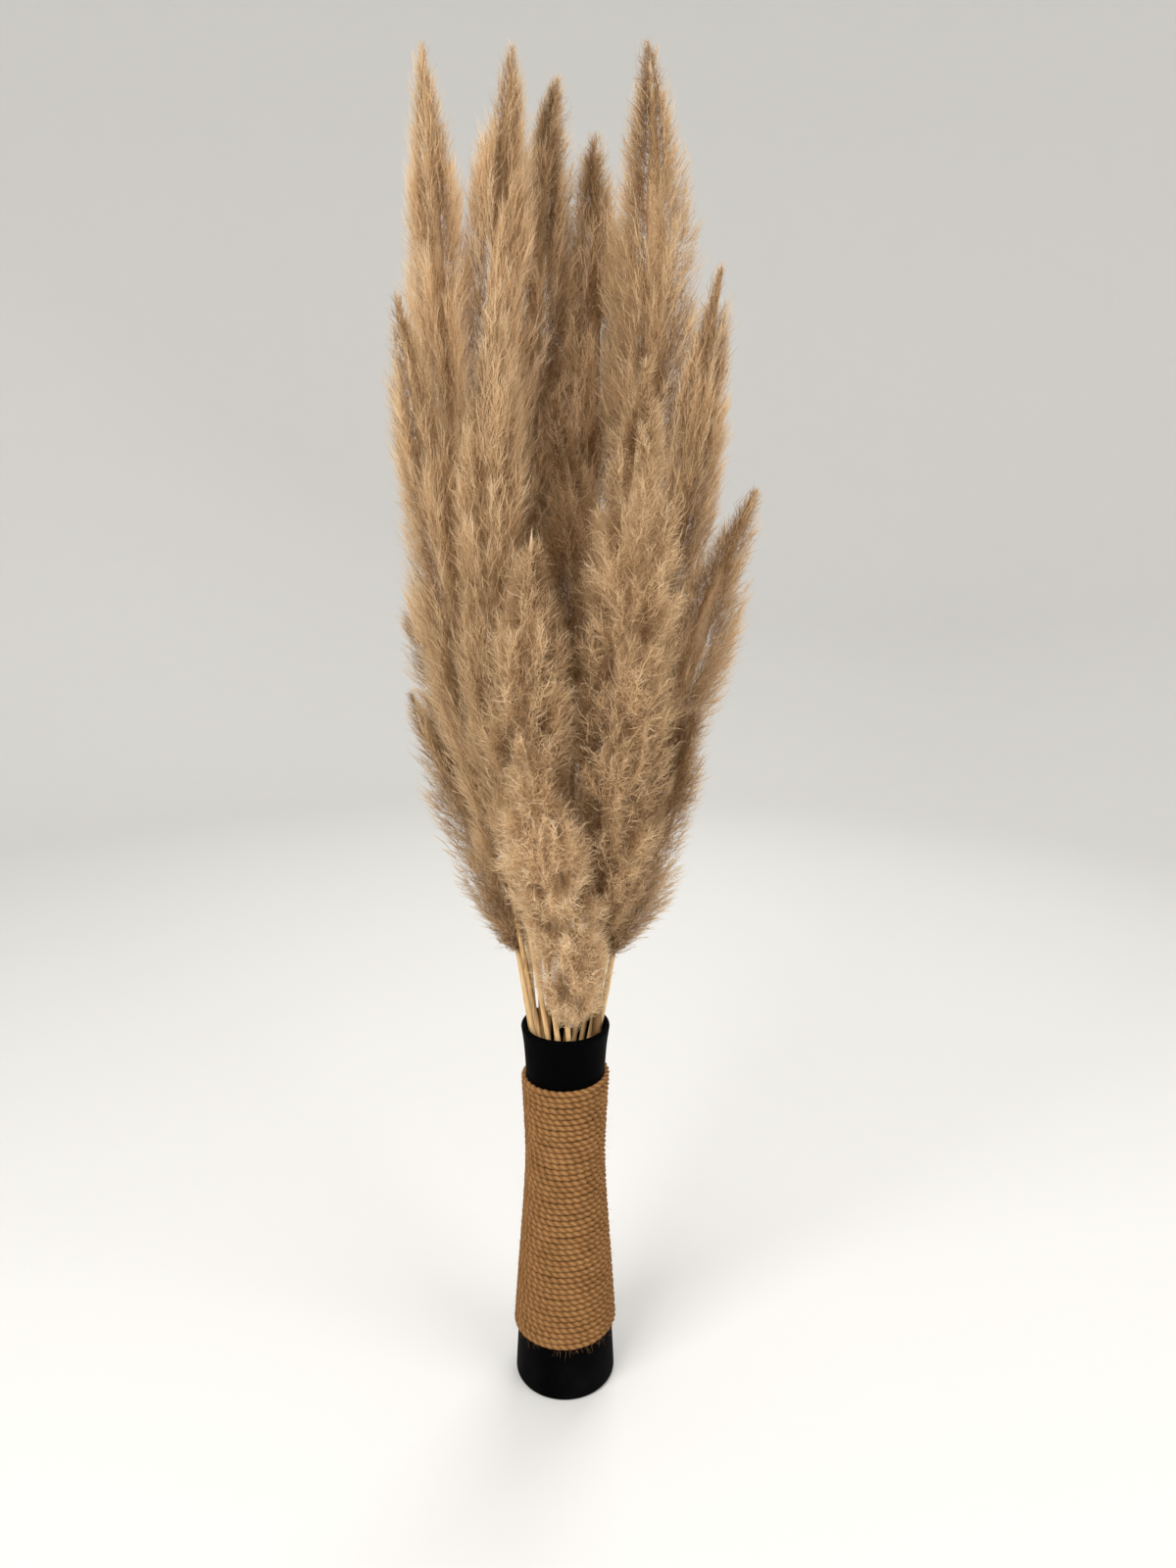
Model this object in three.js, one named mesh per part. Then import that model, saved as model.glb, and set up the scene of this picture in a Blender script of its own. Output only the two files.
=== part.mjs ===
// A tall floor vase, wound with rope, that holds a bunch of dried pampas grass.
// Millimetres, +Z up. The origin is the middle of the vase's underside, and -Y is the front.
import * as THREE from 'three';

// Vase: turned outline as radius at height, from the foot to the rim
const VASE_OUTLINE = [
  [77.5, 6],
  [74.6, 60],
  [67.8, 160],
  [61.3, 250],
  [55.6, 330],
  [53.4, 395],
  [56.0, 470],
  [58.5, 525],
  [61.0, 565],
  [64.8, 595],
];
const VASE_HEIGHT = 600;
const VASE_WALL = 7;
const VASE_FLOOR = 12;
const FOOT_ROUNDING = 5;
const LIP_STEPS = 4;
const VASE_SIDES = 32;
const OUTER_STEPS = 13;
const INNER_STEPS = 7;

// Rope: one length wound close and glued to the vase, its ends at the back
const ROPE_BOTTOM = 88;
const ROPE_PITCH = 9.3;
const ROPE_TURNS = 46;
const ROPE_THICKNESS = 7.3;
const ROPE_GROOVE = 2.4;
const ROPE_CLEARANCE = 1.8;
const ROPE_SIDES = 16;
const ROPE_INNER_STEPS = 9;
const ROPE_START_ANGLE = Math.PI / 2;

// Stems: straight canes that cross inside the vase in one spiral, so that no two meet
const FOOT_RING = 62;
const MOUTH_RING = 52;
const FOOT_TURN = THREE.MathUtils.degToRad(120);
const STEM_FOOT = VASE_FLOOR + 1.6;
const STEM_SIDES = 8;
const STEM_TOP_GAP = 1.2;

// Plumes: horizontal sections at shared levels, pressed flat where neighbours meet
const LEVEL_STEP = 55;
const SECTION_POINTS = 10;
const NECK_RADIUS = 8;
const WIDEST_AT = 0.4;
const TIP_FULLNESS = 2.3;
const LOCK_DEPTH = 0.24;
const NEIGHBOUR_GAP = 3;
const LEAST_RADIUS = 5;

// Stalks in order around the mouth: the stem's place there in degrees counter-clockwise from the right,
// the plume's tip, the height at which the plume begins, its widest radius and the stem's diameter
const STALKS = [
  { mouth: 35, tip: [250, 5, 1358], base: 760, girth: 74, stem: 8 },
  { mouth: 52, tip: [199, 40, 1634], base: 930, girth: 60, stem: 7 },
  { mouth: 69, tip: [98, 15, 1873], base: 1080, girth: 76, stem: 7 },
  { mouth: 86, tip: [-16, -40, 1472], base: 740, girth: 56, stem: 7 },
  { mouth: 103, tip: [36, 120, 1806], base: 980, girth: 70, stem: 7 },
  { mouth: 120, tip: [-80, 180, 1330], base: 720, girth: 64, stem: 7 },
  { mouth: 137, tip: [-12, 80, 1855], base: 1080, girth: 64, stem: 7 },
  { mouth: 154, tip: [-63, 5, 1865], base: 1090, girth: 68, stem: 7 },
  { mouth: 171, tip: [-174, 25, 1873], base: 1080, girth: 56, stem: 7 },
  { mouth: 188, tip: [-226, 50, 1225], base: 740, girth: 62, stem: 7 },
  { mouth: 205, tip: [-213, 10, 1090], base: 725, girth: 62, stem: 8 },
  { mouth: 225, tip: [-204, -50, 1585], base: 840, girth: 60, stem: 7 },
  { mouth: 242, tip: [-70, -80, 1592], base: 900, girth: 54, stem: 7 },
  { mouth: 259, tip: [-35, -170, 1313], base: 780, girth: 66, stem: 7 },
  { mouth: 276, tip: [-52, -175, 1071], base: 630, girth: 80, stem: 7 },
  { mouth: 326, tip: [95, -130, 1504], base: 760, girth: 74, stem: 10 },
  { mouth: 9, tip: [174, -60, 1085], base: 710, girth: 70, stem: 8 },
];

const clayFinish = { color: 0x0b0b0c, roughness: 0.62, metalness: 0 };
const ropeFinish = { color: 0x966c46, roughness: 0.95, metalness: 0 };
const stemFinish = { color: 0xc39c62, roughness: 0.7, metalness: 0 };
const plumeFinish = { color: 0xb4936c, roughness: 0.95, metalness: 0 };

const arrangement = new THREE.Group();

function addPiece(name, geometry, finish) {
  const piece = new THREE.Mesh(geometry, new THREE.MeshStandardMaterial(finish));
  piece.name = name;
  arrangement.add(piece);
  return piece;
}

// Collects vertices and flat polygons, and turns them into one closed geometry
class Surface {
  constructor() {
    this.positions = [];
    this.triangles = [];
  }

  vertex(x, y, z) {
    this.positions.push(x, y, z);
    return this.positions.length / 3 - 1;
  }

  polygon(...corners) {
    for (let i = 1; i + 1 < corners.length; i++) {
      this.triangles.push(corners[0], corners[i], corners[i + 1]);
    }
  }

  geometry() {
    const geometry = new THREE.BufferGeometry();
    geometry.setAttribute('position', new THREE.Float32BufferAttribute(this.positions, 3));
    geometry.setIndex(this.triangles);
    geometry.computeVertexNormals();
    return geometry;
  }
}

function onRing(radius, angle, height) {
  return new THREE.Vector3(radius * Math.cos(angle), radius * Math.sin(angle), height);
}

// The outline as a smooth curve, cut into straight steps that the vase and the rope share
const outlinePoints = VASE_OUTLINE.map(([radius, height]) => new THREE.Vector2(radius, height));
const outline = new THREE.SplineCurve(outlinePoints).getPoints(OUTER_STEPS);

function vaseRadius(height) {
  let i = 1;
  while (i < outline.length - 1 && outline[i].y < height) {
    i++;
  }
  const [low, high] = [outline[i - 1], outline[i]];
  return THREE.MathUtils.mapLinear(height, low.y, high.y, low.x, high.x);
}

// Hollow vase with a rounded foot, a rounded lip and a flat floor, turned about its axis
function vaseGeometry() {
  const foot = outline[0];
  const lip = outline[outline.length - 1];
  const lipMiddle = lip.x - VASE_WALL / 2;
  const lipRise = VASE_HEIGHT - lip.y;
  const shoulder = 0.3 * FOOT_ROUNDING;
  const profile = [new THREE.Vector2(0, 0)];
  profile.push(new THREE.Vector2(foot.x - FOOT_ROUNDING, 0));
  profile.push(new THREE.Vector2(foot.x - shoulder, shoulder));
  profile.push(...outline);
  for (let step = 1; step <= LIP_STEPS; step++) {
    const angle = (step / LIP_STEPS) * Math.PI;
    const across = (VASE_WALL / 2) * Math.cos(angle);
    profile.push(new THREE.Vector2(lipMiddle + across, lip.y + lipRise * Math.sin(angle)));
  }
  for (let step = 1; step <= INNER_STEPS; step++) {
    const height = THREE.MathUtils.lerp(lip.y, VASE_FLOOR, step / INNER_STEPS);
    profile.push(new THREE.Vector2(vaseRadius(height) - VASE_WALL, height));
  }
  profile.push(new THREE.Vector2(0, VASE_FLOOR));
  return new THREE.LatheGeometry(profile, VASE_SIDES).rotateX(Math.PI / 2);
}

// The wound rope as one sleeve: columns around the vase, each a zigzag of valleys and crests.
// Every column stands a little higher than the last, so the crest climbs one pitch in each turn.
function ropeGeometry() {
  const surface = new Surface();
  const rows = 2 * ROPE_TURNS;
  const lastColumn = ROPE_SIDES - 1;

  function height(column, row) {
    return ROPE_BOTTOM + ROPE_PITCH * (row / 2 + column / ROPE_SIDES);
  }

  function place(column, z, beyondVase) {
    const angle = ROPE_START_ANGLE + (2 * Math.PI * column) / ROPE_SIDES;
    return surface.vertex(...onRing(vaseRadius(z) + beyondVase, angle, z).toArray());
  }

  const outer = [];
  const inner = [];
  for (let column = 0; column < ROPE_SIDES; column++) {
    outer[column] = [];
    inner[column] = [];
    for (let row = 0; row <= rows; row++) {
      const groove = row % 2 === 0 ? ROPE_GROOVE : 0;
      outer[column][row] = place(column, height(column, row), ROPE_THICKNESS - groove);
    }
    for (let step = 0; step <= ROPE_INNER_STEPS; step++) {
      const level = THREE.MathUtils.lerp(height(0, 0), height(0, rows), step / ROPE_INNER_STEPS);
      const end = step === 0 || step === ROPE_INNER_STEPS;
      const climb = end ? height(column, 0) - height(0, 0) : 0;
      inner[column][step] = place(column, level + climb, ROPE_CLEARANCE);
    }
  }
  // Where the rope starts and stops, its cut faces reach in to the vase
  const top = ROPE_INNER_STEPS;
  const innerStart = place(0, height(0, 2), ROPE_CLEARANCE);
  const innerStop = place(lastColumn, height(lastColumn, rows - 2), ROPE_CLEARANCE);

  for (let column = 0; column < lastColumn; column++) {
    const next = column + 1;
    for (let row = 0; row < rows; row++) {
      surface.polygon(outer[column][row], outer[next][row], outer[next][row + 1], outer[column][row + 1]);
    }
    for (let step = 0; step < top; step++) {
      const wall = [inner[column][step + 1], inner[next][step + 1], inner[next][step], inner[column][step]];
      if (column === 0 && step === 0) {
        wall.push(innerStart);
      }
      if (next === lastColumn && step === top - 1) {
        wall.splice(2, 0, innerStop);
        wall.push(wall.shift());
      }
      surface.polygon(...wall);
    }
    surface.polygon(inner[column][0], inner[next][0], outer[next][0], outer[column][0]);
    surface.polygon(outer[column][rows], outer[next][rows], inner[next][top], inner[column][top]);
  }
  // From the last column back to the first, each row meets the row one turn further up
  for (let row = 0; row < rows - 2; row++) {
    surface.polygon(outer[lastColumn][row], outer[0][row + 2], outer[0][row + 3], outer[lastColumn][row + 1]);
  }
  const wallBefore = [...inner[lastColumn].slice(0, top), innerStop];
  const wallAfter = [innerStart, ...inner[0].slice(1)];
  for (let step = 0; step < top; step++) {
    surface.polygon(wallBefore[step + 1], wallAfter[step + 1], wallAfter[step], wallBefore[step]);
  }
  surface.polygon(inner[lastColumn][0], innerStart, outer[0][2], outer[lastColumn][0]);
  surface.polygon(outer[lastColumn][rows - 2], outer[0][rows], inner[0][top], innerStop);
  surface.polygon(inner[0][0], outer[0][0], outer[0][1], outer[0][2], innerStart);
  const stopFace = [innerStop, ...outer[lastColumn].slice(rows - 2), inner[lastColumn][top]];
  surface.polygon(...stopFace.reverse());
  return surface.geometry();
}

// A stalk's stem runs straight from the foot ring through the mouth ring to its plume
function planStalk(row) {
  const mouthAngle = THREE.MathUtils.degToRad(row.mouth);
  const foot = onRing(FOOT_RING, mouthAngle + FOOT_TURN, STEM_FOOT);
  const mouth = onRing(MOUTH_RING, mouthAngle, VASE_HEIGHT);
  const slope = mouth.clone().sub(foot).divideScalar(mouth.z - foot.z);
  const atHeight = (z) => foot.clone().addScaledVector(slope, z - foot.z);
  const tip = new THREE.Vector3(...row.tip);
  const base = atHeight(row.base);
  const bend = atHeight((row.base + tip.z) / 2);
  const spine = new THREE.QuadraticBezierCurve3(base, bend, tip);
  return { ...row, foot, slope, atHeight, tip, spine };
}

const stalks = STALKS.map(planStalk);

// Share of a plume's length that lies below a height
function along(stalk, z) {
  return (z - stalk.base) / (stalk.tip.z - stalk.base);
}

// Middle of a stalk at a height: on the straight stem, then on the plume's arching spine
function middle(stalk, z) {
  return z <= stalk.base ? stalk.atHeight(z) : stalk.spine.getPoint(Math.min(along(stalk, z), 1));
}

// Radius that a stalk would have at a height with nothing pressing on it
function freeRadius(stalk, z) {
  if (z <= stalk.base) {
    return stalk.stem / 2;
  }
  const share = along(stalk, z);
  if (share >= 1) {
    return 0;
  }
  const swell =
    share < WIDEST_AT
      ? Math.sqrt(1 - (1 - share / WIDEST_AT) ** 2)
      : 1 - ((share - WIDEST_AT) / (1 - WIDEST_AT)) ** TIP_FULLNESS;
  return NECK_RADIUS + (stalk.girth - NECK_RADIUS) * swell;
}

// How far a stalk may reach towards each neighbour at a height
function pressedSides(stalk, z) {
  const centre = middle(stalk, z);
  const radius = freeRadius(stalk, z);
  const sides = [];
  for (const other of stalks) {
    const otherRadius = freeRadius(other, z);
    if (other === stalk || otherRadius === 0) {
      continue;
    }
    const between = middle(other, z).sub(centre);
    const distance = Math.hypot(between.x, between.y);
    const toStem = distance - otherRadius;
    const toPlume = (distance * radius) / (radius + otherRadius);
    const limit = z <= other.base ? toStem : toPlume;
    sides.push({ angle: Math.atan2(between.y, between.x), reach: limit - NEIGHBOUR_GAP / 2 });
  }
  return sides;
}

function sectionRadius(stalk, z, angle, sides) {
  let radius = freeRadius(stalk, z);
  for (const side of sides) {
    const facing = Math.cos(angle - side.angle);
    if (facing > 0) {
      radius = Math.min(radius, side.reach / facing);
    }
  }
  return Math.max(radius, LEAST_RADIUS);
}

// A plume: sections stacked up its spine to a point, with locks that stand proud in turn
function plumeGeometry(stalk) {
  const surface = new Surface();
  const levels = [stalk.base];
  const firstLevel = Math.ceil((stalk.base + LEVEL_STEP / 4) / LEVEL_STEP);
  for (let level = firstLevel; level * LEVEL_STEP < stalk.tip.z - LEVEL_STEP / 4; level++) {
    levels.push(level * LEVEL_STEP);
  }
  const rings = levels.map((z, level) => {
    const centre = middle(stalk, z);
    const sides = pressedSides(stalk, z);
    const ring = [];
    for (let point = 0; point < SECTION_POINTS; point++) {
      const angle = (2 * Math.PI * point) / SECTION_POINTS;
      const lock = level > 0 && (level + point) % 2 === 0 ? 1 - LOCK_DEPTH : 1;
      const radius = sectionRadius(stalk, z, angle, sides) * lock;
      ring.push(surface.vertex(centre.x + radius * Math.cos(angle), centre.y + radius * Math.sin(angle), z));
    }
    return ring;
  });
  const point = surface.vertex(...stalk.tip.toArray());
  const topRing = rings[rings.length - 1];
  for (let i = 0; i < SECTION_POINTS; i++) {
    const next = (i + 1) % SECTION_POINTS;
    for (let level = 0; level + 1 < rings.length; level++) {
      const [low, high] = [rings[level], rings[level + 1]];
      const corners = [low[i], low[next], high[next], high[i]];
      if ((level + i) % 2 !== 0) {
        corners.push(corners.shift());
      }
      surface.polygon(...corners);
    }
    surface.polygon(topRing[i], topRing[next], point);
  }
  surface.polygon(...[...rings[0]].reverse());
  return surface.geometry();
}

function addStem(name, stalk) {
  const top = stalk.atHeight(stalk.base - STEM_TOP_GAP);
  const length = top.distanceTo(stalk.foot);
  const cane = new THREE.CylinderGeometry(stalk.stem / 2, stalk.stem / 2, length, STEM_SIDES);
  const stem = addPiece(name, cane, stemFinish);
  stem.position.copy(stalk.foot).lerp(top, 0.5);
  stem.quaternion.setFromUnitVectors(new THREE.Vector3(0, 1, 0), stalk.slope.clone().normalize());
}

addPiece('vase', vaseGeometry(), clayFinish);
addPiece('rope_wrap', ropeGeometry(), ropeFinish);
stalks.forEach((stalk, index) => {
  const number = String(index + 1).padStart(2, '0');
  addStem(`stem_${number}`, stalk);
  addPiece(`plume_${number}`, plumeGeometry(stalk), plumeFinish);
});

export default arrangement;
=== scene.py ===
import math

import bmesh
import bpy
import numpy as np
from mathutils import Matrix, Vector


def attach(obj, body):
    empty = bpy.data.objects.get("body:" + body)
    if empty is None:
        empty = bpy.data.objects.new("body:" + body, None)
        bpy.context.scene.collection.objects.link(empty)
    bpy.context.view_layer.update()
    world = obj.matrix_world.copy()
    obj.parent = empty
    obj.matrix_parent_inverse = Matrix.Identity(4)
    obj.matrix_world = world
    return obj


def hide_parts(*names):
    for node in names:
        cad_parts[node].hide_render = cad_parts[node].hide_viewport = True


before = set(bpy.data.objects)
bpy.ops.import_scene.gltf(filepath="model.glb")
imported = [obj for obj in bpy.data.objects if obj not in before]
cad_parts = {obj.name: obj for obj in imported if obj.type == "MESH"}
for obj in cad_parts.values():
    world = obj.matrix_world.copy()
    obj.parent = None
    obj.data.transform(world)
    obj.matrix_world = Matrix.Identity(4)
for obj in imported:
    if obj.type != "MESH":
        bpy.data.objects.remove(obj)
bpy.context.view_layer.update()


# Vase: one hollow vessel of matte black fired clay, with a narrow waist and a flared lip.
# It is turned on a wheel, so its outline is spun once round the axis, inside and out.
VASE_OUTLINE = [
    (0.0775, 0.006),
    (0.0746, 0.060),
    (0.0678, 0.160),
    (0.0613, 0.250),
    (0.0556, 0.330),
    (0.0534, 0.395),
    (0.0560, 0.470),
    (0.0585, 0.525),
    (0.0610, 0.565),
    (0.0648, 0.595),
]
VASE_HEIGHT = 0.600
VASE_WALL = 0.007
VASE_FLOOR = 0.012
FOOT_ROUNDING = 0.005
OUTLINE_STEPS = 6
ROUNDING_STEPS = 5
LIP_STEPS = 10
SPIN_STEPS = 144
DUST_TOP = 0.11
DUST_MOST = 0.8
CLAY_BLACK = (0.0008, 0.0008, 0.0010, 1)
CLAY_DUST = (0.007, 0.0068, 0.0066, 1)


def node(tree, kind, inputs=None, **settings):
    """A shader node with its settings, its inputs given as values or as sockets to link."""
    made = tree.nodes.new(kind)
    for key, value in settings.items():
        setattr(made, key, value)
    for key, value in (inputs or {}).items():
        if isinstance(value, bpy.types.NodeSocket):
            tree.links.new(value, made.inputs[key])
        else:
            made.inputs[key].default_value = value
    return made


def new_material(name):
    """An empty material, its node tree and its output's Surface socket."""
    made = bpy.data.materials.new(name)
    made.use_nodes = True
    made.node_tree.nodes.clear()
    output = node(made.node_tree, "ShaderNodeOutputMaterial")
    return made, made.node_tree, output.inputs["Surface"]


def ramp(tree, factor, *stops):
    """A colour that changes with a factor, through stops of (place, colour)."""
    made = node(tree, "ShaderNodeValToRGB", {"Fac": factor})
    points = made.color_ramp.elements
    while len(points) < len(stops):
        points.new(0.5)
    for point, (place, colour) in zip(points, stops):
        point.position = place
        point.color = colour
    return made.outputs["Color"]


def grey(value):
    return (value, value, value, 1)


def noise(tree, place, scale, detail):
    """A noise over a place, given as a socket."""
    made = node(tree, "ShaderNodeTexNoise", {"Vector": place, "Scale": scale, "Detail": detail})
    return made.outputs["Fac"]


def maths(tree, operation, *values):
    """The result of an operation on numbers and sockets."""
    return node(tree, "ShaderNodeMath", dict(enumerate(values)), operation=operation).outputs["Value"]


def remapped(tree, value, start, end, low, high):
    """A value that runs from low to high while the given one runs from start to end."""
    limits = {"From Min": start, "From Max": end, "To Min": low, "To Max": high}
    return node(tree, "ShaderNodeMapRange", {"Value": value, **limits}).outputs["Result"]


def bump(tree, height, strength, depth):
    """Normals for a fine relief."""
    made = node(tree, "ShaderNodeBump", {"Height": height, "Strength": strength, "Distance": depth})
    return made.outputs["Normal"]


def principled(tree, colour, roughness, shine, **others):
    """A surface of one colour, with its roughness and the strength of its shine."""
    settings = {"Base Color": colour, "Roughness": roughness, "Specular IOR Level": shine, **others}
    return node(tree, "ShaderNodeBsdfPrincipled", settings).outputs["BSDF"]


def add_piece(name, mesh, material, slot, *solids):
    """A finished piece of the object, in place of the solids that it dresses."""
    mesh.materials.append(material)
    mesh.polygons.foreach_set("use_smooth", np.ones(len(mesh.polygons), bool))
    piece = bpy.data.objects.new(name, mesh)
    bpy.context.scene.collection.objects.link(piece)
    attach(piece, "root")
    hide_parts(*solids)
    return piece


def smooth_outline(points, steps):
    """Points on an even curve that passes through the given ones."""
    held = np.array([points[0], *points, points[-1]])
    share = np.linspace(0, 1, steps, endpoint=False)[:, None]
    curve = []
    for before, start, end, after in zip(held, held[1:], held[2:], held[3:]):
        bend = 2 * before - 5 * start + 4 * end - after
        turn = 3 * start - before - 3 * end + after
        curve.append(start + 0.5 * share * (end - before + share * (bend + share * turn)))
    return np.concatenate([*curve, held[-1:]])


def vase_radius(height):
    return np.interp(height, vase_outline[:, 1], vase_outline[:, 0])


def spun_mesh(name, profile, steps):
    """A sheet or vessel turned round the upright axis from an outline of (radius, height)."""
    bm = bmesh.new()
    line = [bm.verts.new((radius, 0, height)) for radius, height in profile]
    edges = [bm.edges.new(pair) for pair in zip(line, line[1:])]
    bmesh.ops.spin(
        bm,
        geom=line + edges,
        cent=(0, 0, 0),
        axis=(0, 0, 1),
        angle=2 * math.pi,
        steps=steps,
        use_merge=True,
    )
    bmesh.ops.remove_doubles(bm, verts=bm.verts, dist=1e-6)
    bmesh.ops.recalc_face_normals(bm, faces=bm.faces)
    mesh = bpy.data.meshes.new(name)
    bm.to_mesh(mesh)
    bm.free()
    return mesh


def vase_mesh():
    foot_radius, foot_top = vase_outline[0]
    lip_radius, lip_bottom = vase_outline[-1]
    lip_middle = lip_radius - VASE_WALL / 2
    profile = [(0, 0)]
    for angle in np.linspace(0, math.pi / 2, ROUNDING_STEPS):
        across = foot_radius - FOOT_ROUNDING * (1 - math.sin(angle))
        profile.append((across, foot_top * (1 - math.cos(angle))))
    profile.extend(vase_outline[1:-1])
    for angle in np.linspace(0, math.pi, LIP_STEPS):
        rise = (VASE_HEIGHT - lip_bottom) * math.sin(angle)
        profile.append((lip_middle + VASE_WALL / 2 * math.cos(angle), lip_bottom + rise))
    for radius, height in vase_outline[-2:1:-1]:
        profile.append((radius - VASE_WALL, height))
    profile.append((vase_radius(VASE_FLOOR) - VASE_WALL, VASE_FLOOR))
    profile.append((0, VASE_FLOOR))
    return spun_mesh("clay_vase", profile, SPIN_STEPS)


def clay_material():
    made, tree, surface = new_material("black_clay")
    spot = node(tree, "ShaderNodeTexCoord").outputs["Object"]
    height = node(tree, "ShaderNodeSeparateXYZ", {"Vector": spot}).outputs["Z"]
    speckle = noise(tree, spot, 420, 3)
    cloud = noise(tree, spot, 14, 6)
    low = remapped(tree, height, DUST_TOP, 0, 0, DUST_MOST)
    patch = ramp(tree, cloud, (0.42, grey(0)), (0.72, grey(1)))
    dusty = maths(tree, "MULTIPLY", low, patch)
    grain = maths(tree, "MULTIPLY", dusty, speckle)
    colour = ramp(tree, grain, (0.0, CLAY_BLACK), (0.6, CLAY_DUST))
    rough = ramp(tree, cloud, (0.3, grey(0.5)), (0.75, grey(0.68)))
    wave = {"Vector": spot, "Scale": 90, "Distortion": 1.5, "Detail": 2}
    grooves = node(tree, "ShaderNodeTexWave", wave, bands_direction="Z").outputs["Fac"]
    turned = maths(tree, "MULTIPLY_ADD", grooves, 0.25, speckle)
    relief = bump(tree, turned, 0.22, 0.0006)
    tree.links.new(principled(tree, colour, rough, 0.012, Normal=relief), surface)
    return made



vase_outline = smooth_outline(VASE_OUTLINE, OUTLINE_STEPS)
add_piece("clay_vase", vase_mesh(), clay_material(), "black_ceramic", "vase")


# Rope: one length of three-strand twisted jute, wound close and glued round the vase.
# Its strands are one turned section that is carried along the winding, and both cut ends are at the back.
ROPE_BOTTOM = 0.088
ROPE_PITCH = 0.0093
ROPE_TURNS = 45.94
ROPE_START = math.pi / 2
ROPE_SEAT = 0.0027
STRAND_REACH = 0.00495
STRAND_VALLEY = 0.60
STRAND_SHOULDER = 0.93
STRAND_COUNT = 3
STRAND_LAY = 0.034
ROPE_STEP = 0.0036
ROPE_WANDER = 0.00035
ROPE_SAMPLES = 40000
FIBRE_STRETCH = (1500, 30, 1)
# The darkest jute colour is painted shade for the grooves between the strands; the palest is partly painted
# light on the strands' crests.
JUTE_GROOVE_SHADE = (0.070, 0.028, 0.007, 1)
JUTE_MID = (0.240, 0.113, 0.038, 1)
JUTE_PALE = (0.410, 0.226, 0.094, 1)
FUZZ_COUNT = 3200
FUZZ_LENGTH = (0.003, 0.008)
FUZZ_WIDTH = 0.00022
FRAY_COUNT = 90
FRAY_LENGTH = (0.006, 0.015)
FRAY_DROP = 0.0035
FUZZ_SCATTER = 0.0015
ROPE_SEED = 21


def rope_line():
    """Points along the middle of the wound rope, evenly spaced, and the distance to each."""
    turns = np.linspace(0, ROPE_TURNS, ROPE_SAMPLES)
    angle = ROPE_START + 2 * math.pi * turns
    height = ROPE_BOTTOM + ROPE_PITCH * (0.5 + turns)
    sway = ROPE_WANDER * (np.sin(1.7 * angle) + np.sin(0.63 * angle + 1) * np.sin(2.9 * angle))
    radius = vase_radius(height) + ROPE_SEAT + 0.5 * ROPE_WANDER * np.sin(4.3 * angle)
    line = np.stack([radius * np.cos(angle), radius * np.sin(angle), height + sway], axis=1)
    run = np.concatenate([[0], np.cumsum(np.linalg.norm(np.diff(line, axis=0), axis=1))])
    even = np.linspace(0, run[-1], round(run[-1] / ROPE_STEP))
    return np.stack([np.interp(even, run, axis) for axis in line.T], axis=1), even


def poly_curve(name, points, closed):
    path = bpy.data.curves.new(name, "CURVE")
    path.dimensions = "3D"
    spline = path.splines.new("POLY")
    spline.points.add(len(points) - 1)
    spline.points.foreach_set("co", np.column_stack([points, np.ones(len(points))]).ravel())
    spline.use_cyclic_u = closed
    thing = bpy.data.objects.new(name, path)
    bpy.context.scene.collection.objects.link(thing)
    return thing


def rope_mesh():
    points, run = rope_line()
    section = []
    for corner in range(4 * STRAND_COUNT):
        reach = (1, STRAND_SHOULDER, STRAND_VALLEY, STRAND_SHOULDER)[corner % 4]
        angle = 2 * math.pi * (corner + 2) / (4 * STRAND_COUNT)
        section.append((STRAND_REACH * reach * math.cos(angle), STRAND_REACH * reach * math.sin(angle), 0))
    profile = poly_curve("rope_section", np.array(section), True)
    profile.data.dimensions = "2D"
    rope = poly_curve("rope_path", points, False)
    rope.data.twist_mode = "Z_UP"
    rope.data.bevel_mode = "OBJECT"
    rope.data.bevel_object = profile
    rope.data.use_fill_caps = True
    rope.data.splines[0].points.foreach_set("tilt", 2 * math.pi * run / STRAND_LAY)
    bpy.context.view_layer.update()
    mesh = bpy.data.meshes.new_from_object(rope.evaluated_get(bpy.context.evaluated_depsgraph_get()))
    for thing in (rope, profile):
        bpy.data.objects.remove(thing)
    return mesh


def jute_material():
    made, tree, surface = new_material("jute")
    spot = node(tree, "ShaderNodeTexCoord")
    around = node(tree, "ShaderNodeSeparateXYZ", {"Vector": spot.outputs["UV"]}).outputs["Y"]
    # The strands are painted lighter on their crests and darker in the grooves between them: painted light
    # and painted shade. The fibres and the cloud are the jute's own uneven tone.
    strand = maths(tree, "MULTIPLY", around, STRAND_COUNT)
    crest_light = maths(tree, "PINGPONG", strand, 0.5)
    stretched = node(tree, "ShaderNodeMapping", {"Vector": spot.outputs["UV"], "Scale": FIBRE_STRETCH})
    fibres = noise(tree, stretched.outputs["Vector"], 1, 4)
    cloud = noise(tree, spot.outputs["Object"], 38, 5)
    lit = maths(tree, "MULTIPLY_ADD", crest_light, 1.1, fibres)
    mixed = maths(tree, "MULTIPLY_ADD", cloud, 0.5, lit)
    share = remapped(tree, mixed, 0.45, 1.6, 0, 1)
    colour = ramp(tree, share, (0.05, JUTE_GROOVE_SHADE), (0.45, JUTE_MID), (0.95, JUTE_PALE))
    relief = bump(tree, fibres, 0.5, 0.0008)
    tree.links.new(principled(tree, colour, 0.9, 0.1, Normal=relief), surface)
    return made



def unit(vectors):
    return vectors / np.linalg.norm(vectors, axis=-1, keepdims=True)


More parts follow.
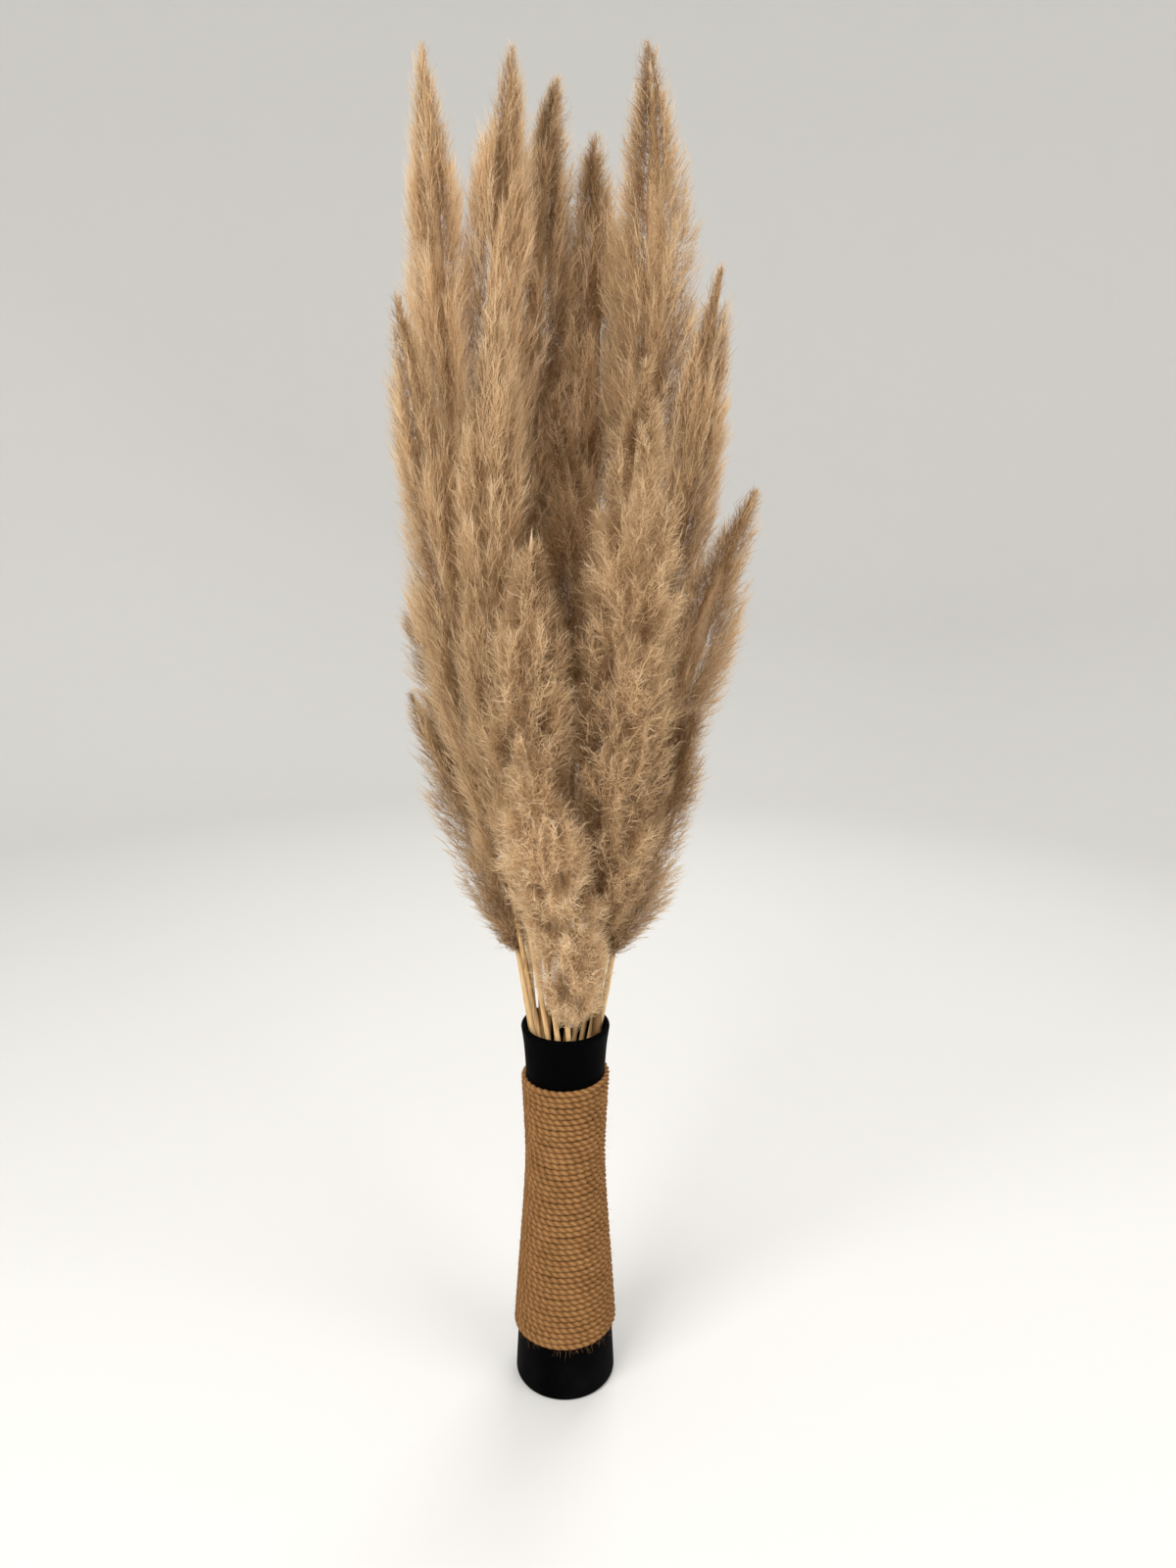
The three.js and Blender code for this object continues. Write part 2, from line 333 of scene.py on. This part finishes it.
def ribbons(roots, bends, tips, widths, facing):
    """Flat tapered fibres as vertices and triangles: each a strip to its bend and a point at its tip."""
    side = unit(np.cross(tips - roots, facing)) * widths[:, None] / 2
    rows = [roots - side, roots + side, bends + 0.8 * side, bends - 0.8 * side, tips]
    first = len(rows) * np.arange(len(roots))[:, None]
    corners = [first + np.array([order]) for order in ((0, 1, 2), (0, 2, 3), (3, 2, 4))]
    return np.stack(rows, axis=1).reshape(-1, 3), np.stack(corners, axis=1).reshape(-1, 3)


def mesh_from_arrays(name, vertices, triangles):
    mesh = bpy.data.meshes.new(name)
    mesh.vertices.add(len(vertices))
    mesh.vertices.foreach_set("co", vertices.astype(np.float32).ravel())
    mesh.loops.add(triangles.size)
    mesh.loops.foreach_set("vertex_index", triangles.astype(np.int32).ravel())
    mesh.polygons.add(len(triangles))
    mesh.polygons.foreach_set("loop_start", np.arange(0, triangles.size, 3, dtype=np.int32))
    mesh.update(calc_edges=True)
    return mesh


def rope_fuzz():
    """Loose jute fibres that stand off the winding, and longer frayed ones under its lowest turn."""
    rng = np.random.default_rng(ROPE_SEED)
    points, run = rope_line()
    picks = rng.integers(1, len(points) - 1, FUZZ_COUNT)
    low_turn = run.searchsorted(2 * math.pi * VASE_OUTLINE[1][0])
    frays = rng.integers(1, low_turn, FRAY_COUNT)
    picks = np.concatenate([picks, frays])
    is_fray = np.arange(len(picks)) >= FUZZ_COUNT
    along = unit(points[picks + 1] - points[picks - 1])
    outward = unit(points[picks] * (1, 1, 0))
    down = np.array([0, 0, -1.0])
    roots = points[picks] + outward * 0.8 * STRAND_REACH + rng.normal(0, FUZZ_SCATTER, (len(picks), 3))
    roots[is_fray] += FRAY_DROP * down
    aim = 0.6 * along * rng.choice([-1, 1], len(picks))[:, None] + 0.6 * outward
    aim = aim + rng.normal(0, 0.5, aim.shape)
    aim[is_fray] = down + 0.25 * outward[is_fray] + rng.normal(0, 0.35, (FRAY_COUNT, 3))
    aim = unit(aim)
    length = rng.uniform(*FUZZ_LENGTH, len(picks))
    length[is_fray] = rng.uniform(*FRAY_LENGTH, FRAY_COUNT)
    bends = roots + aim * length[:, None] / 2
    tips = bends + unit(aim + rng.normal(0, 0.45, aim.shape)) * length[:, None] / 2
    return ribbons(roots, bends, tips, np.full(len(picks), FUZZ_WIDTH), outward)


def fuzz_material():
    made, tree, surface = new_material("jute_fuzz")
    spot = node(tree, "ShaderNodeTexCoord").outputs["Object"]
    speckle = noise(tree, spot, 160, 2)
    colour = ramp(tree, speckle, (0.3, JUTE_MID), (0.7, JUTE_PALE))
    tree.links.new(principled(tree, colour, 0.9, 0.15), surface)
    return made



add_piece("wound_rope", rope_mesh(), jute_material(), "jute_rope", "rope_wrap")
add_piece("rope_fuzz", mesh_from_arrays("rope_fuzz", *rope_fuzz()), fuzz_material(), "jute_rope")


# Stems: straw-coloured canes of dried grass, one to each plume, that stand in the vase and cross inside it.
# Each is drawn up from a small circle, a little uneven, with a thicker node here and there.
STALK_COUNT = 17
STEM_SIDES = 12
STEM_RINGS = 34
STEM_SWELL = 1.13
STEM_NODE_SPACING = 0.19
STEM_NODE_RISE = 0.10
STEM_WAVER = 0.0007
STEM_FOOT = 1.06
STEM_TAPER = 0.14
CANE_STRETCH = (420, 420, 9)
STEM_DARK = (0.190, 0.098, 0.034, 1)
STEM_STRAW = (0.560, 0.350, 0.150, 1)
STEM_PALE = (0.700, 0.480, 0.245, 1)
BROWN_STEMS = {4: 0.35, 6: 0.4, 12: 0.3, 16: 0.75}
STEM_SEED = 5


def solid_points(name):
    """The corners of a solid, each once."""
    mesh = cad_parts[name].data
    corners = np.zeros(3 * len(mesh.vertices), np.float32)
    mesh.vertices.foreach_get("co", corners)
    return np.unique(corners.reshape(-1, 3).round(5), axis=0)


def stem_mesh(number, rng):
    points = solid_points(f"stem_{number:02d}")
    middle_height = (points[:, 2].min() + points[:, 2].max()) / 2
    is_low = points[:, 2] < middle_height
    foot, top = points[is_low].mean(0), points[~is_low].mean(0)
    radius = STEM_SWELL * np.linalg.norm(points[is_low] - foot, axis=1).max()
    lean = Vector(top - foot)
    turn = lean.to_track_quat("Z", "Y").to_matrix().to_4x4()
    bm = bmesh.new()
    bmesh.ops.create_circle(bm, cap_ends=True, segments=STEM_SIDES, radius=radius)
    rim = list(bm.edges)
    phase = rng.uniform(0, STEM_NODE_SPACING)
    waver = rng.uniform(0, 2 * math.pi, 2)
    step = lean.length / STEM_RINGS
    for _ in range(STEM_RINGS):
        made = bmesh.ops.extrude_edge_only(bm, edges=rim)["geom"]
        rim = [item for item in made if isinstance(item, bmesh.types.BMEdge)]
        corners = [item for item in made if isinstance(item, bmesh.types.BMVert)]
        bmesh.ops.translate(bm, verts=corners, vec=(0, 0, step))
    bmesh.ops.holes_fill(bm, edges=rim, sides=STEM_SIDES)
    for corner in bm.verts:
        height = corner.co.z
        to_node = abs((height + phase) % STEM_NODE_SPACING - STEM_NODE_SPACING / 2)
        swell = 1 + STEM_NODE_RISE * max(0, 1 - to_node / step)
        taper = STEM_FOOT - STEM_TAPER * height / lean.length
        corner.co.x = corner.co.x * swell * taper + STEM_WAVER * math.sin(9 * height + waver[0])
        corner.co.y = corner.co.y * swell * taper + STEM_WAVER * math.sin(11 * height + waver[1])
    bmesh.ops.recalc_face_normals(bm, faces=bm.faces)
    bmesh.ops.transform(bm, matrix=Matrix.Translation(Vector(foot)) @ turn, verts=bm.verts)
    mesh = bpy.data.meshes.new(f"cane_{number:02d}")
    bm.to_mesh(mesh)
    bm.free()
    brown = mesh.attributes.new("brown", "FLOAT", "POINT")
    tone = BROWN_STEMS.get(number, rng.uniform(0, 0.16))
    brown.data.foreach_set("value", np.full(len(mesh.vertices), tone, np.float32))
    return mesh


def cane_material():
    made, tree, surface = new_material("dried_cane")
    spot = node(tree, "ShaderNodeTexCoord").outputs["Object"]
    brown = node(tree, "ShaderNodeAttribute", attribute_name="brown").outputs["Fac"]
    drawn = node(tree, "ShaderNodeMapping", {"Vector": spot, "Scale": CANE_STRETCH}).outputs["Vector"]
    streaks = noise(tree, drawn, 1, 4)
    patches = noise(tree, spot, 26, 3)
    share = maths(tree, "MULTIPLY_ADD", patches, 0.45, streaks)
    aged = maths(tree, "SUBTRACT", share, brown)
    colour = ramp(tree, aged, (0.22, STEM_DARK), (0.52, STEM_STRAW), (0.88, STEM_PALE))
    relief = bump(tree, streaks, 0.35, 0.0006)
    tree.links.new(principled(tree, colour, 0.62, 0.3, Normal=relief), surface)
    return made



stem_rng = np.random.default_rng(STEM_SEED)
cane = cane_material()
for number in range(1, STALK_COUNT + 1):
    add_piece(f"cane_{number:02d}", stem_mesh(number, stem_rng), cane, "straw_stem", f"stem_{number:02d}")


# Plumes: the feathery flower heads, each one rachis with short branches that carry long silky hairs.
# The hairs grow in locks from a middle out to the form of the plume's solid, rising as they spread. The
# middle and the hair roots are painted darker as shade, the outer hairs and tips lighter as painted light.
REACH_ANGLES = 24
CORE_SHARE = 0.40
CORE_TAPER = 0.6
# The core's lightness at its bottom and at its tip: painted shade, darker low in the plume.
CORE_PAINTED_SHADE = (0.22, 0.52)
LOCKS_IN_ALL = 3600
HAIRS_PER_LOCK = 32
HAIR_WIDTH = (0.0005, 0.0010)
DOWN_PER_LOCK = 145
DOWN_LENGTH = 0.62
DOWN_WIDTH = 0.85
DOWN_DEPTH = 0.45
LOCK_THICKNESS = 0.009
LOCK_START = (0.40, 0.70)
LOCK_END = (0.76, 0.96)
LEAST_LOCKS = 0.30
SKIRT_HEIGHT = 0.05
LOOSE_TIP = 0.11
TIP_SLIMMING = 0.30
SLIM_FROM = 0.7
FRINGE_SHARE = 1.05
FRINGE = (0.002, 0.014)
SOFTNESS_USUAL = 0.3
SOFTNESS = {3: 0.45, 5: 0.9, 7: 0.9, 8: 0.5, 14: 0.5, 15: 0.2, 16: 0.45}
WIDER = {3: 0.006, 5: 0.020, 7: 0.016, 8: 0.006}
DENSITY = {4: 0.7, 5: 1.4, 6: 0.9, 7: 1.4, 14: 1.2, 15: 2.0, 16: 1.2}
HAIR_LENGTHS = (0.55, 1.35)
SHORTEST_AT_TIP = 0.012
TIP_CURL = 0.14
TIP_MARGIN = 0.004
DOWN_CURL = 1.5
# Painted shade and light on the hairs: darker deep in the plume and at their roots, lighter further out and
# at their tips.
PAINTED_LIGHT_OUTWARD = 0.55
HAIR_ROOT_SHADE_TIP_LIGHT = (-0.08, -0.08, 0.02, 0.02, 0.10)
DOWN_ROOT_SHADE_TIP_LIGHT = (-0.06, -0.06, 0.08)
STREAK_STRETCH = (700, 700, 110)
STREAK_LIGHT = 0.14
HIDDEN_PROBE = 0.03
HIDDEN_KEPT = 0.3
HIDDEN_KEPT_MORE = {5: 0.9, 7: 0.9}
# The deep fluff colour is painted shade for the plume's middle, hair roots and the gaps between plumes; the
# pale one is partly the tips' own cream and partly painted light.
FLUFF_DEEP_SHADE = (0.280, 0.152, 0.060, 1)
FLUFF_MID = (0.790, 0.585, 0.352, 1)
FLUFF_PALE = (0.980, 0.850, 0.630, 1)
PLUME_SEED = 300

# Hair length, lock length, curl, spread and tone of each plume, by its number
PLUME_MANNERS = {
    1: (0.032, 0.105, 0.26, 0.46, 0.00),
    2: (0.030, 0.100, 0.20, 0.24, -0.02),
    3: (0.032, 0.100, 0.28, 0.49, -0.03),
    4: (0.028, 0.080, 0.38, 0.32, -0.08),
    5: (0.030, 0.090, 0.30, 0.40, 0.00),
    6: (0.032, 0.095, 0.30, 0.43, 0.00),
    7: (0.030, 0.090, 0.28, 0.40, 0.03),
    8: (0.034, 0.110, 0.22, 0.29, 0.07),
    9: (0.034, 0.115, 0.22, 0.30, 0.08),
    10: (0.032, 0.100, 0.26, 0.46, -0.05),
    11: (0.032, 0.105, 0.24, 0.40, -0.05),
    12: (0.034, 0.110, 0.24, 0.35, 0.05),
    13: (0.030, 0.095, 0.28, 0.26, 0.03),
    14: (0.028, 0.075, 0.42, 0.40, 0.02),
    15: (0.022, 0.048, 0.55, 0.46, 0.11),
    16: (0.025, 0.060, 0.48, 0.46, 0.01),
    17: (0.030, 0.095, 0.28, 0.52, -0.05),
}


class PlumeForm:
    """The room that a plume takes, read from its solid: its middle and its reach at every height."""

    def __init__(self, name, softness, wider):
        points = solid_points(name)
        heights = points[:, 2].round(4)
        self.heights = np.unique(heights)
        self.angles = np.linspace(0, 2 * math.pi, REACH_ANGLES, endpoint=False)
        rings = [points[heights == height][:, :2] for height in self.heights]
        self.middles = np.array([ring.mean(0) for ring in rings])
        self.reaches = np.zeros((len(rings), REACH_ANGLES))
        for level, ring in enumerate(rings[:-1]):
            self.reaches[level] = self.full_reach(ring - self.middles[level])
        self.tip = self.heights[-1]
        widest = self.reaches.max(1, keepdims=True)
        share = (self.heights - self.heights[0]) / (self.tip - self.heights[0])
        slim = 1 - TIP_SLIMMING * np.clip((share - SLIM_FROM) / (1 - SLIM_FROM), 0, 1)
        self.reaches = (self.reaches + softness * (widest - self.reaches)) * slim[:, None]
        self.reaches += wider * widest / widest.max() * np.cos(self.angles) ** 2

    def full_reach(self, ring):
        """A ring's reach at even angles, with the hollows between its locks filled."""
        angles = np.arctan2(ring[:, 1], ring[:, 0]) % (2 * math.pi)
        order = np.argsort(angles)
        reach = np.linalg.norm(ring, axis=1)[order]
        filled = np.maximum(reach, (np.roll(reach, 1) + np.roll(reach, -1)) / 2)
        return np.interp(self.angles, angles[order], filled, period=2 * math.pi)

    def middle(self, height):
        return np.stack([np.interp(height, self.heights, axis) for axis in self.middles.T], axis=-1)

    def reach(self, height, angle):
        level = np.interp(height, self.heights, np.arange(len(self.heights)), left=-1, right=-1)
        inside = level >= 0
        low = np.clip(level.astype(int), 0, len(self.heights) - 2)
        rise = level - low
        turn = (angle / (2 * math.pi) % 1) * REACH_ANGLES
        left = turn.astype(int) % REACH_ANGLES
        right = (left + 1) % REACH_ANGLES
        part = turn % 1
        below = self.reaches[low, left] * (1 - part) + self.reaches[low, right] * part
        above = self.reaches[low + 1, left] * (1 - part) + self.reaches[low + 1, right] * part
        return np.where(inside, below * (1 - rise) + above * rise, 0)

    def place(self, height, angle, share):
        aim = np.stack([np.cos(angle), np.sin(angle)], axis=-1)
        out = (share * self.reach(height, angle))[..., None] * aim
        return np.concatenate([self.middle(height) + out, height[..., None]], axis=-1)

    def drawn_in(self, points, fringe):
        """The same points, any that stand further out of the form than a fringe brought back."""
        height = np.minimum(points[:, 2], self.tip - TIP_MARGIN)
        out = points[:, :2] - self.middle(height)
        far = np.linalg.norm(out, axis=1) + 1e-9
        most = FRINGE_SHARE * self.reach(height, np.arctan2(out[:, 1], out[:, 0])) + fringe
        held = self.middle(height) + out * np.minimum(1, most / far)[:, None]
        return np.column_stack([held, points[:, 2]])

    def holds(self, points):
        out = points[:, :2] - self.middle(points[:, 2])
        return np.linalg.norm(out, axis=1) < self.reach(points[:, 2], np.arctan2(out[:, 1], out[:, 0]))


def plume_locks(form, others, count, lock_length, hidden_kept, rng):
    """Where each lock of a plume starts and how it runs. Few are kept where other plumes hide them."""
    many = 6 * count
    base = form.heights[0]
    angle = rng.uniform(0, 2 * math.pi, many)
    end = rng.uniform(base + 2 * TIP_MARGIN, form.tip - TIP_MARGIN, many)
    span = form.reach(end, angle) / form.reaches.max() + LEAST_LOCKS
    chosen = rng.uniform(0, 1, many) < span
    angle, end = angle[chosen], end[chosen]
    rise = np.minimum(lock_length * rng.uniform(0.6, 1.3, len(end)), end - base)
    ends = form.place(end, angle, np.ones(len(end)))
    probe = ends + HIDDEN_PROBE * unit(ends * (1, 1, 0))
    hidden = np.any([other.holds(probe) for other in others], axis=0)
    kept = np.flatnonzero(~hidden | (rng.uniform(0, 1, len(end)) < hidden_kept))[:count]
    low = np.clip(1 - (end[kept] - base) / SKIRT_HEIGHT, 0, 1)
    high = np.clip(1 - (form.tip - end[kept]) / LOOSE_TIP, 0, 1)
    return {
        "start": (end - rise)[kept],
        "rise": rise[kept],
        "angle": angle[kept],
        "turn": rng.normal(0, 0.22, len(kept)),
        "root_share": rng.uniform(*LOCK_START, len(kept)) * (1 - 0.7 * high),
        "end_share": rng.uniform(*LOCK_END, len(kept)) * (1 - high * rng.uniform(0, 0.8, len(kept))),
        "tone": rng.normal(0, 0.05, len(kept)),
        "skirt": low,
    }


def plume_hairs(form, locks, per_lock, bent, manner, rng):
    """Hairs on a plume's locks as vertices and triangles, with how light each corner is: painted shade deep
    in the plume and at the roots, painted light further out and at the tips, over each plume's, lock's and
    hair's tone.
    """
    hair_length, curl, spread, tone = manner
    pick = np.repeat(np.arange(len(locks["start"])), per_lock)
    lock = {key: values[pick] for key, values in locks.items()}
    along = rng.uniform(0, 1, len(pick)) ** 0.85
    depth = np.ones(len(pick)) if bent else rng.uniform(DOWN_DEPTH, 1, len(pick))

    def share(step):
        return depth * (lock["root_share"] + (lock["end_share"] - lock["root_share"]) * step**0.8)

    def on_lock(step):
        height = lock["start"] + lock["rise"] * step
        return form.place(height, lock["angle"] + lock["turn"] * step, share(step))

    roots = on_lock(along)
    run = unit(on_lock(along + 0.06) - roots + (0, 0, 1e-6))
    outward = np.stack([np.cos(lock["angle"]), np.sin(lock["angle"]), np.zeros(len(pick))], axis=1)
    roots = roots + rng.normal(0, LOCK_THICKNESS / 2, roots.shape) * (1 - 0.7 * along)[:, None]
    skirt = lock["skirt"][:, None]
    aim = run * (1 - 0.8 * skirt) + (spread + 0.5 * skirt) * outward - (0, 0, 0.25) * skirt
    near_tip = np.clip(1 - (form.tip - roots[:, 2]) / LOOSE_TIP, 0, 1)[:, None]
    aim = unit(aim + rng.normal(0, 1, roots.shape) * (curl + TIP_CURL * near_tip))
    length = hair_length * rng.uniform(*HAIR_LENGTHS, len(pick))
    length = np.minimum(length, np.maximum(form.tip - roots[:, 2], SHORTEST_AT_TIP) * 1.1)[:, None]
    bends = roots + aim * length * 0.5
    tips = bends + unit(aim + rng.normal(0, curl, aim.shape) + 0.15 * outward) * length * 0.5
    tips = form.drawn_in(tips, rng.uniform(*FRINGE, len(pick)))
    facing = unit(outward + rng.normal(0, 0.65, outward.shape))
    widths = rng.uniform(*HAIR_WIDTH, len(pick))
    # Each hair's tone, plus painted light that grows outward from the plume's middle.
    light = tone + lock["tone"] + rng.normal(0, 0.06, len(pick)) + PAINTED_LIGHT_OUTWARD * share(along)
    if bent:
        vertices, triangles = ribbons(roots, bends, tips, widths, facing)
        return vertices, triangles, (light[:, None] + HAIR_ROOT_SHADE_TIP_LIGHT).ravel()
    side = unit(np.cross(tips - roots, facing)) * widths[:, None] * DOWN_WIDTH / 2
    vertices = np.stack([roots - side, roots + side, tips], axis=1).reshape(-1, 3)
    triangles = np.arange(len(vertices)).reshape(-1, 3)
    return vertices, triangles, (light[:, None] + DOWN_ROOT_SHADE_TIP_LIGHT).ravel()


def plume_core(name, form):
    """The middle of a plume, painted dark as shade and darker towards its bottom: its solid drawn in
    towards the rachis.
    """
    bm = bmesh.new()
    bm.from_mesh(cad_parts[name].data)
    bmesh.ops.remove_doubles(bm, verts=bm.verts, dist=1e-5)
    for corner in bm.verts:
        middle = form.middle(np.array(corner.co.z))
        rise = (corner.co.z - form.heights[0]) / (form.tip - form.heights[0])
        share = CORE_SHARE * (1 - CORE_TAPER * rise)
        corner.co.x = middle[0] + share * (corner.co.x - middle[0])
        corner.co.y = middle[1] + share * (corner.co.y - middle[1])
    bmesh.ops.triangulate(bm, faces=bm.faces)
    bm.verts.index_update()
    vertices = np.array([corner.co for corner in bm.verts])
    triangles = np.array([[corner.index for corner in face.verts] for face in bm.faces])
    bm.free()
    rise = (vertices[:, 2] - form.heights[0]) / (form.tip - form.heights[0])
    return vertices, triangles, CORE_PAINTED_SHADE[0] + (CORE_PAINTED_SHADE[1] - CORE_PAINTED_SHADE[0]) * rise


def plume_mesh(name, parts):
    """One mesh of several parts, each vertices, triangles and how light each corner is, as tone with
    painted shade.
    """
    first = np.cumsum([0] + [len(part[0]) for part in parts])
    vertices = np.concatenate([part[0] for part in parts])
    triangles = np.concatenate([part[1] + start for part, start in zip(parts, first)])
    mesh = mesh_from_arrays(name, vertices, triangles)
    light = mesh.attributes.new("tone_and_painted_shade", "FLOAT", "POINT")
    light.data.foreach_set("value", np.concatenate([part[2] for part in parts]).astype(np.float32))
    return mesh


def fluff_material():
    made, tree, surface = new_material("plume_fluff")
    spot = node(tree, "ShaderNodeTexCoord").outputs["Object"]
    drawn = node(tree, "ShaderNodeMapping", {"Vector": spot, "Scale": STREAK_STRETCH}).outputs["Vector"]
    streaks = noise(tree, drawn, 1, 2)
    # Each corner's tone with its painted shade and light, from the mesh.
    tone_and_shade = node(tree, "ShaderNodeAttribute", attribute_name="tone_and_painted_shade").outputs["Fac"]
    uneven = remapped(tree, streaks, 0.3, 0.7, -STREAK_LIGHT, STREAK_LIGHT)
    light = maths(tree, "ADD", tone_and_shade, uneven)
    colour = ramp(tree, light, (0.10, FLUFF_DEEP_SHADE), (0.48, FLUFF_MID), (0.86, FLUFF_PALE))
    hair = principled(tree, colour, 0.8, 0.2, **{"Sheen Weight": 0.1})
    glow = node(tree, "ShaderNodeBsdfTranslucent", {"Color": colour}).outputs["BSDF"]
    mixed = node(tree, "ShaderNodeMixShader", {0: 0.5, 1: hair, 2: glow})
    tree.links.new(mixed.outputs["Shader"], surface)
    return made


forms = {
    number: PlumeForm(f"plume_{number:02d}", SOFTNESS.get(number, SOFTNESS_USUAL), WIDER.get(number, 0))
    for number in PLUME_MANNERS
}
girths = {
    number: DENSITY.get(number, 1) * form.reaches.mean() * (form.tip - form.heights[0])
    for number, form in forms.items()
}
fluff = fluff_material()
for number, manner in PLUME_MANNERS.items():
    name = f"plume_{number:02d}"
    form = forms[number]
    others = [other for key, other in forms.items() if key != number]
    rng = np.random.default_rng(PLUME_SEED + number)
    hair_length, lock_length, curl, spread, tone = manner
    count = round(LOCKS_IN_ALL * girths[number] / sum(girths.values()))
    hidden_kept = HIDDEN_KEPT_MORE.get(number, HIDDEN_KEPT)
    locks = plume_locks(form, others, count, lock_length, hidden_kept, rng)
    hair_manner = (hair_length, curl, spread, tone)
    down_manner = (DOWN_LENGTH * hair_length, DOWN_CURL * curl, spread, tone)
    hairs = plume_hairs(form, locks, HAIRS_PER_LOCK, True, hair_manner, rng)
    down = plume_hairs(form, locks, DOWN_PER_LOCK, False, down_manner, rng)
    mesh = plume_mesh(f"fluff_{number:02d}", [plume_core(name, form), hairs, down])
    add_piece(f"fluff_{number:02d}", mesh, fluff, "plume_fluff", name)


# Studio: a plain pale floor that turns up into a round backdrop, and large soft lamps.
# The camera stands where the photograph was taken from.
FLOOR_RADIUS = 3.4
SWEEP_RADIUS = 1.6
BACKDROP_TOP = 6.5
SWEEP_STEPS = 14
STUDIO_STEPS = 96
FLOOR_PALE = (0.67, 0.655, 0.63, 1)
SKY_COLOUR = (0.94, 0.97, 1.0, 1)
SKY_STRENGTH = 0.80
LAMPS = {
    "key": ((-1.9, -2.4, 2.9), 2.2, 130),
    "fill": ((2.6, -1.8, 2.0), 2.4, 63),
    "rim": ((0.8, 2.4, 3.2), 2.0, 55),
}
LAMP_AIM = (0, 0, 1.0)
PHOTO_HEIGHT = 1600
PHOTO_FOCUS = 1122
SENSOR = 36
CAMERA_PLACE = (0.031, -1.472, 1.344)
CAMERA_PITCH = math.radians(14.62)
CAMERA_ROLL = math.radians(-0.34)


def studio_mesh():
    profile = [(0, 0), (FLOOR_RADIUS, 0)]
    for angle in np.linspace(0, math.pi / 2, SWEEP_STEPS)[1:]:
        radius = FLOOR_RADIUS + SWEEP_RADIUS * math.sin(angle)
        profile.append((radius, SWEEP_RADIUS * (1 - math.cos(angle))))
    profile.append((FLOOR_RADIUS + SWEEP_RADIUS, BACKDROP_TOP))
    mesh = spun_mesh("floor", profile, STUDIO_STEPS)
    mesh.flip_normals()
    return mesh


def floor_material():
    made, tree, surface = new_material("pale_floor")
    tree.links.new(principled(tree, FLOOR_PALE, 0.85, 0.5), surface)
    return made


floor_sheet = studio_mesh()
floor_sheet.materials.append(floor_material())
floor_sheet.polygons.foreach_set("use_smooth", np.ones(len(floor_sheet.polygons), bool))
floor = bpy.data.objects.new("floor", floor_sheet)
bpy.context.scene.collection.objects.link(floor)

for name, (place, size, power) in LAMPS.items():
    light = bpy.data.lights.new(name, "AREA")
    light.size = size
    light.energy = power
    lamp = bpy.data.objects.new(name, light)
    lamp.location = place
    lamp.rotation_euler = (Vector(LAMP_AIM) - Vector(place)).to_track_quat("-Z", "Y").to_euler()
    lamp.visible_camera = False
    bpy.context.scene.collection.objects.link(lamp)

world = bpy.data.worlds.new("studio")
world.use_nodes = True
sky = world.node_tree.nodes["Background"]
sky.inputs["Color"].default_value = SKY_COLOUR
sky.inputs["Strength"].default_value = SKY_STRENGTH
bpy.context.scene.world = world
bpy.context.scene.view_settings.view_transform = "Standard"

ahead = Vector((0, math.cos(CAMERA_PITCH), -math.sin(CAMERA_PITCH)))
level = Vector((1, 0, 0))
below = Vector((0, -math.sin(CAMERA_PITCH), -math.cos(CAMERA_PITCH)))
right = math.cos(CAMERA_ROLL) * level + math.sin(CAMERA_ROLL) * below
down = -math.sin(CAMERA_ROLL) * level + math.cos(CAMERA_ROLL) * below
lens = bpy.data.cameras.new("camera")
lens.sensor_width = SENSOR
lens.lens = SENSOR * PHOTO_FOCUS / PHOTO_HEIGHT
camera = bpy.data.objects.new("camera", lens)
axes = Matrix((right, -down, -ahead)).transposed().to_4x4()
camera.matrix_world = Matrix.Translation(CAMERA_PLACE) @ axes
bpy.context.scene.collection.objects.link(camera)
bpy.context.scene.camera = camera
